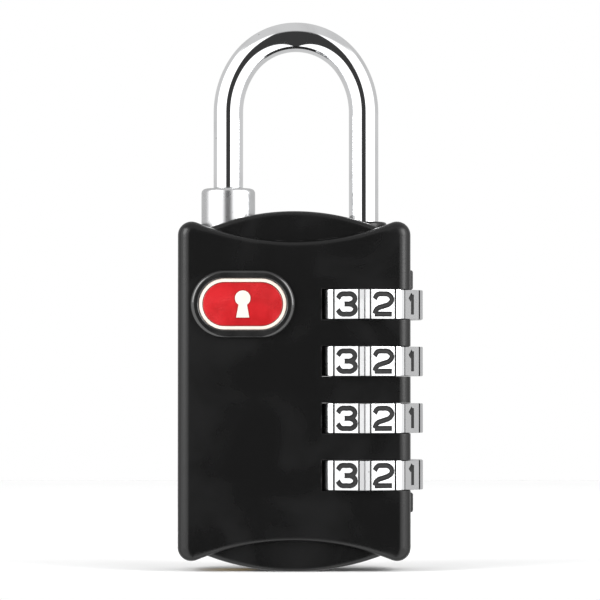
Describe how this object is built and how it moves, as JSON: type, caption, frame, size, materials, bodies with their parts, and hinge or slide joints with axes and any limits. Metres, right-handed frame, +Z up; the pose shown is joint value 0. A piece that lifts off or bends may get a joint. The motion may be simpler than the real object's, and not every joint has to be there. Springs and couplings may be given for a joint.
{
  "type": "combination padlock",
  "caption": "Travel padlock with number dials on one spindle, a round-bar shackle, a release collar and a key cylinder in the foot.",
  "frame": {"origin": "hasp seat: the inside of the shackle's crown, midway between the legs and between front and back", "axes": "+Z up along the shackle's legs, +X towards the dials, front face and badge towards -Y"},
  "size_m": [0.0318, 0.0158, 0.0713],
  "materials": {
    "housing_black": "satin black paint on die-cast zinc",
    "badge_black": "gloss black",
    "badge_cream": "gloss cream",
    "badge_red": "gloss red enamel",
    "shackle_chrome": "polished chrome",
    "dial_chrome": "chrome with black numerals",
    "lock_brass": "machined",
    "sleeve_zinc": "bare die-cast zinc",
    "spring_steel": "bare"
  },
  "bodies": {
    "housing": {"front_housing": "housing_black", "rear_housing": "housing_black", "housing_pins": "spring_steel", "cylinder_housing": "lock_brass", "detent_spring": "spring_steel", "spring_seat": "spring_steel", "sleeve_spring": "spring_steel", "shackle_spring": "spring_steel", "collar_spring": "spring_steel", "emblem_bezel": "badge_black", "emblem_border": "badge_cream", "emblem_inlay": "badge_red", "emblem_keyhole": "badge_cream"},
    "shackle": {"shackle": "shackle_chrome"},
    "collar": {"release_collar": "shackle_chrome"},
    "plug": {"key_plug": "lock_brass", "wafers": "lock_brass", "wafer_springs": "spring_steel", "plug_clip": "spring_steel", "release_cam": "spring_steel"},
    "dial_1_set": {"dial_1": "dial_chrome", "code_sleeve_1": "sleeve_zinc"},
    "dial_2_set": {"dial_2": "dial_chrome", "code_sleeve_2": "sleeve_zinc"},
    "dial_3_set": {"dial_3": "dial_chrome", "code_sleeve_3": "sleeve_zinc"},
    "dial_4_set": {"dial_4": "dial_chrome", "code_sleeve_4": "sleeve_zinc"}
  },
  "joints": [
    {"name": "shackle_lift", "type": "slide", "parent": "housing", "child": "shackle", "axis": [0, 0, 1], "range_m": [0, 0.006], "deforming": ["shackle_spring"]},
    {"name": "key_turn", "type": "hinge", "parent": "housing", "child": "plug", "pos_m": [-0.00882, 0, -0.0575], "axis": [0, 0, 1], "range_deg": [0, 90]},
    {"name": "collar_drop", "type": "slide", "parent": "housing", "child": "collar", "axis": [0, 0, -1], "range_m": [0, 0.004], "deforming": ["collar_spring"]},
    {"name": "dial_1_turn", "type": "hinge", "parent": "housing", "child": "dial_1_set", "pos_m": [0.00882, 0, -0.0331], "axis": [0, 0, 1], "continuous": true, "deforming": ["detent_spring"]},
    {"name": "dial_2_turn", "type": "hinge", "parent": "housing", "child": "dial_2_set", "pos_m": [0.00882, 0, -0.04043], "axis": [0, 0, 1], "continuous": true},
    {"name": "dial_3_turn", "type": "hinge", "parent": "housing", "child": "dial_3_set", "pos_m": [0.00882, 0, -0.04776], "axis": [0, 0, 1], "continuous": true},
    {"name": "dial_4_turn", "type": "hinge", "parent": "housing", "child": "dial_4_set", "pos_m": [0.00882, 0, -0.05509], "axis": [0, 0, 1], "continuous": true}
  ],
  "couplings": [
    {"joint": "key_turn", "follows": "collar_drop", "rad_per_m": 392.7}
  ]
}
